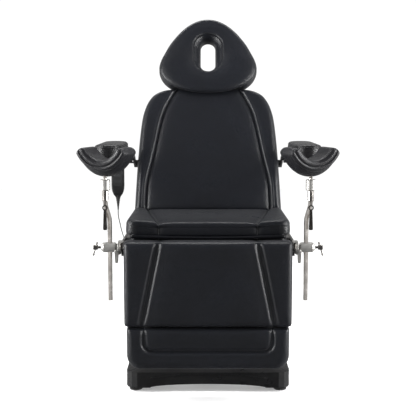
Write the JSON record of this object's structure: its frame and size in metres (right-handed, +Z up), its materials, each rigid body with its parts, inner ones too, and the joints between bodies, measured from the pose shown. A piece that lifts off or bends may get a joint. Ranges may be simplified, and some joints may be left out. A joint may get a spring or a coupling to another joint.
{
  "type": "medical exam table",
  "caption": "Powered exam table on a low base: padded seat, reclining back, face pillow, hanging leg rest with extension, armrests, leg supports on posts and a corded handset.",
  "frame": {"origin": "on the floor under the middle of the assembly's width and depth, handset cord left out", "axes": "+Z up, +X to the right of a viewer who faces the leg rest, and the sitter faces -Y"},
  "size_m": [0.9836, 1.046, 1.5478],
  "materials": {
    "leather": "satin",
    "moulded_foam": "satin",
    "cover_plastic": "satin",
    "case_plastic": "satin",
    "button_plastic": "matte",
    "black_rubber": "matte",
    "painted_steel": "satin",
    "polished_steel": "polished",
    "cast_alloy": "satin"
  },
  "bodies": {
    "base": {"base_frame": "painted_steel", "base_cover": "cover_plastic", "foot_front_left": "black_rubber", "foot_front_right": "black_rubber", "foot_rear_left": "black_rubber", "foot_rear_right": "black_rubber", "mains_inlet": "case_plastic"},
    "lower_arm": {"lift_arm_lower": "painted_steel"},
    "upper_arm": {"lift_arm_upper": "painted_steel"},
    "lift_actuator": {"lift_actuator_body": "case_plastic"},
    "lift_rod": {"lift_actuator_rod": "polished_steel"},
    "seat": {"carriage": "painted_steel", "seat_frame": "painted_steel", "seat_cushion": "leather", "side_rail_left": "polished_steel", "side_rail_right": "polished_steel", "control_box": "case_plastic", "back_actuator_body": "case_plastic", "leg_actuator_body": "case_plastic", "cord_gland": "black_rubber", "handset_cord": "black_rubber"},
    "back_rod": {"back_actuator_rod": "polished_steel"},
    "leg_rod": {"leg_actuator_rod": "polished_steel"},
    "back": {"back_frame": "painted_steel", "back_cushion": "leather", "handset": "case_plastic"},
    "head_slider": {"head_slider": "polished_steel"},
    "head": {"head_plate": "cover_plastic", "head_pillow": "leather"},
    "leg": {"leg_frame": "painted_steel", "leg_cushion": "leather"},
    "extension": {"extension_frame": "painted_steel", "extension_cushion": "leather"},
    "rocker_height": {"rocker_height": "button_plastic"},
    "rocker_back": {"rocker_back": "button_plastic"},
    "rocker_leg": {"rocker_leg": "button_plastic"},
    "armrest_left": {"armrest_arm_left": "painted_steel", "armrest_pad_left": "leather"},
    "clamp_left": {"rail_clamp_left": "cast_alloy"},
    "lock_left": {"lock_lever_left": "cast_alloy"},
    "screw_left": {"clamp_screw_left": "polished_steel"},
    "tommy_left": {"tommy_bar_left": "polished_steel"},
    "post_left": {"stirrup_post_left": "polished_steel"},
    "ring_left": {"ring_lever_left": "polished_steel"},
    "collar_left": {"collar_left": "cast_alloy"},
    "neck_left": {"crutch_bracket_left": "polished_steel"},
    "crutch_left": {"crutch_pad_left": "moulded_foam"},
    "armrest_right": {"armrest_arm_right": "painted_steel", "armrest_pad_right": "leather"},
    "clamp_right": {"rail_clamp_right": "cast_alloy"},
    "lock_right": {"lock_lever_right": "cast_alloy"},
    "screw_right": {"clamp_screw_right": "polished_steel"},
    "tommy_right": {"tommy_bar_right": "polished_steel"},
    "post_right": {"stirrup_post_right": "polished_steel"},
    "ring_right": {"ring_lever_right": "polished_steel"},
    "collar_right": {"collar_right": "cast_alloy"},
    "neck_right": {"crutch_bracket_right": "polished_steel"},
    "crutch_right": {"crutch_pad_right": "moulded_foam"}
  },
  "joints": [
    {"name": "lift", "type": "hinge", "parent": "base", "child": "lower_arm", "pos_m": [0, 0.37544, 0.125], "axis": [-1, 0, 0], "range_deg": [0, 38]},
    {"name": "lift_upper", "type": "hinge", "parent": "base", "child": "upper_arm", "pos_m": [0, 0.37544, 0.205], "axis": [-1, 0, 0], "range_deg": [0, 38]},
    {"name": "seat_level", "type": "hinge", "parent": "lower_arm", "child": "seat", "pos_m": [0, -0.06961, 0.30481], "axis": [1, 0, 0], "range_deg": [0, 38]},
    {"name": "lift_actuator_swivel", "type": "hinge", "parent": "base", "child": "lift_actuator", "pos_m": [0, -0.14456, 0.092], "axis": [1, 0, 0], "range_deg": [0, 12.46]},
    {"name": "lift_rod_slide", "type": "slide", "parent": "lift_actuator", "child": "lift_rod", "axis": [0, 0.9791, 0.2035], "range_m": [0, 0.0929]},
    {"name": "back_tilt", "type": "hinge", "parent": "seat", "child": "back", "pos_m": [0, 0.09454, 0.67], "axis": [-1, 0, 0], "range_deg": [0, 65], "deforming": ["handset_cord"]},
    {"name": "back_rod_slide", "type": "slide", "parent": "seat", "child": "back_rod", "axis": [0, -0.9996, -0.0275], "range_m": [0, 0.1613]},
    {"name": "leg_tilt", "type": "hinge", "parent": "seat", "child": "leg", "pos_m": [0, -0.44056, 0.621], "axis": [-1, 0, 0], "range_deg": [0, 90]},
    {"name": "leg_rod_slide", "type": "slide", "parent": "seat", "child": "leg_rod", "axis": [0, -0.9986, 0.0536], "range_m": [0, 0.14151]},
    {"name": "leg_extension", "type": "slide", "parent": "leg", "child": "extension", "axis": [0, 0, -1], "range_m": [0, 0.13]},
    {"name": "headrest_slide", "type": "slide", "parent": "back", "child": "head_slider", "axis": [0, 0.4226, 0.9063], "range_m": [0, 0.1]},
    {"name": "headrest_tilt", "type": "hinge", "parent": "head_slider", "child": "head", "pos_m": [0, 0.40605, 1.20786], "axis": [-1, 0, 0], "range_deg": [0, 35]},
    {"name": "rocker_height_tip", "type": "hinge", "parent": "back", "child": "rocker_height", "pos_m": [-0.395, 0.11444, 0.868], "axis": [1, 0, 0], "range_deg": [-5, 5], "stiffness_Nm_per_rad": 0.3},
    {"name": "rocker_back_tip", "type": "hinge", "parent": "back", "child": "rocker_back", "pos_m": [-0.395, 0.11444, 0.842], "axis": [1, 0, 0], "range_deg": [-5, 5], "stiffness_Nm_per_rad": 0.3},
    {"name": "rocker_leg_tip", "type": "hinge", "parent": "back", "child": "rocker_leg", "pos_m": [-0.395, 0.11444, 0.816], "axis": [1, 0, 0], "range_deg": [-5, 5], "stiffness_Nm_per_rad": 0.3},
    {"name": "armrest_fold_left", "type": "hinge", "parent": "back", "child": "armrest_left", "pos_m": [-0.345, 0.22544, 0.906], "axis": [-1, 0, 0], "range_deg": [0, 90]},
    {"name": "clamp_slide_left", "type": "slide", "parent": "seat", "child": "clamp_left", "axis": [0, 1, 0], "range_m": [0, 0.045]},
    {"name": "lock_lever_turn_left", "type": "hinge", "parent": "clamp_left", "child": "lock_left", "pos_m": [-0.348, -0.46856, 0.592], "axis": [0, 1, 0], "range_deg": [0, 90]},
    {"name": "clamp_screw_turn_left", "type": "hinge", "parent": "clamp_left", "child": "screw_left", "pos_m": [-0.3875, -0.44456, 0.606], "axis": [1, 0, 0], "range_deg": [0, 180]},
    {"name": "tommy_bar_slide_left", "type": "slide", "parent": "screw_left", "child": "tommy_left", "axis": [0.3, 0, 0.9539], "range_m": [0, 0.0145]},
    {"name": "post_height_left", "type": "slide", "parent": "clamp_left", "child": "post_left", "axis": [0, 0, 1], "range_m": [-0.03, 0.12]},
    {"name": "ring_lever_swing_left", "type": "hinge", "parent": "post_left", "child": "ring_left", "pos_m": [-0.391, -0.44856, 0.798], "axis": [-1, 0, 0], "range_deg": [0, 80]},
    {"name": "collar_turn_left", "type": "hinge", "parent": "post_left", "child": "collar_left", "pos_m": [-0.391, -0.44456, 0.8255], "axis": [0, 0, 1], "range_deg": [0, 180]},
    {"name": "crutch_swivel_left", "type": "hinge", "parent": "post_left", "child": "neck_left", "pos_m": [-0.391, -0.44456, 0.8475], "axis": [0, 0, -1], "range_deg": [-60, 60]},
    {"name": "crutch_tilt_left", "type": "hinge", "parent": "neck_left", "child": "crutch_left", "pos_m": [-0.391, -0.44456, 0.896], "axis": [0.9613, -0.2756, 0], "range_deg": [-15, 15]},
    {"name": "armrest_fold_right", "type": "hinge", "parent": "back", "child": "armrest_right", "pos_m": [0.345, 0.22544, 0.906], "axis": [-1, 0, 0], "range_deg": [0, 90]},
    {"name": "clamp_slide_right", "type": "slide", "parent": "seat", "child": "clamp_right", "axis": [0, 1, 0], "range_m": [0, 0.045]},
    {"name": "lock_lever_turn_right", "type": "hinge", "parent": "clamp_right", "child": "lock_right", "pos_m": [0.348, -0.46856, 0.592], "axis": [0, -1, 0], "range_deg": [0, 90]},
    {"name": "clamp_screw_turn_right", "type": "hinge", "parent": "clamp_right", "child": "screw_right", "pos_m": [0.3875, -0.44456, 0.606], "axis": [1, 0, 0], "range_deg": [0, 180]},
    {"name": "tommy_bar_slide_right", "type": "slide", "parent": "screw_right", "child": "tommy_right", "axis": [-0.3, 0, 0.9539], "range_m": [0, 0.0145]},
    {"name": "post_height_right", "type": "slide", "parent": "clamp_right", "child": "post_right", "axis": [0, 0, 1], "range_m": [-0.03, 0.12]},
    {"name": "ring_lever_swing_right", "type": "hinge", "parent": "post_right", "child": "ring_right", "pos_m": [0.391, -0.44856, 0.798], "axis": [-1, 0, 0], "range_deg": [0, 80]},
    {"name": "collar_turn_right", "type": "hinge", "parent": "post_right", "child": "collar_right", "pos_m": [0.391, -0.44456, 0.8255], "axis": [0, 0, 1], "range_deg": [0, 180]},
    {"name": "crutch_swivel_right", "type": "hinge", "parent": "post_right", "child": "neck_right", "pos_m": [0.391, -0.44456, 0.8475], "axis": [0, 0, 1], "range_deg": [-60, 60]},
    {"name": "crutch_tilt_right", "type": "hinge", "parent": "neck_right", "child": "crutch_right", "pos_m": [0.391, -0.44456, 0.896], "axis": [0.9613, 0.2756, 0], "range_deg": [-15, 15]}
  ],
  "couplings": [
    {"joint": "lift_upper", "follows": "lift", "ratio": 1},
    {"joint": "seat_level", "follows": "lift", "ratio": 1},
    {"joint": "lift_actuator_swivel", "follows": "lift", "ratio": 0.32798},
    {"joint": "lift_rod_slide", "follows": "lift", "m_per_rad": 0.14007},
    {"joint": "back_rod_slide", "follows": "back_tilt", "m_per_rad": 0.14218},
    {"joint": "leg_rod_slide", "follows": "leg_tilt", "m_per_rad": 0.090087}
  ]
}
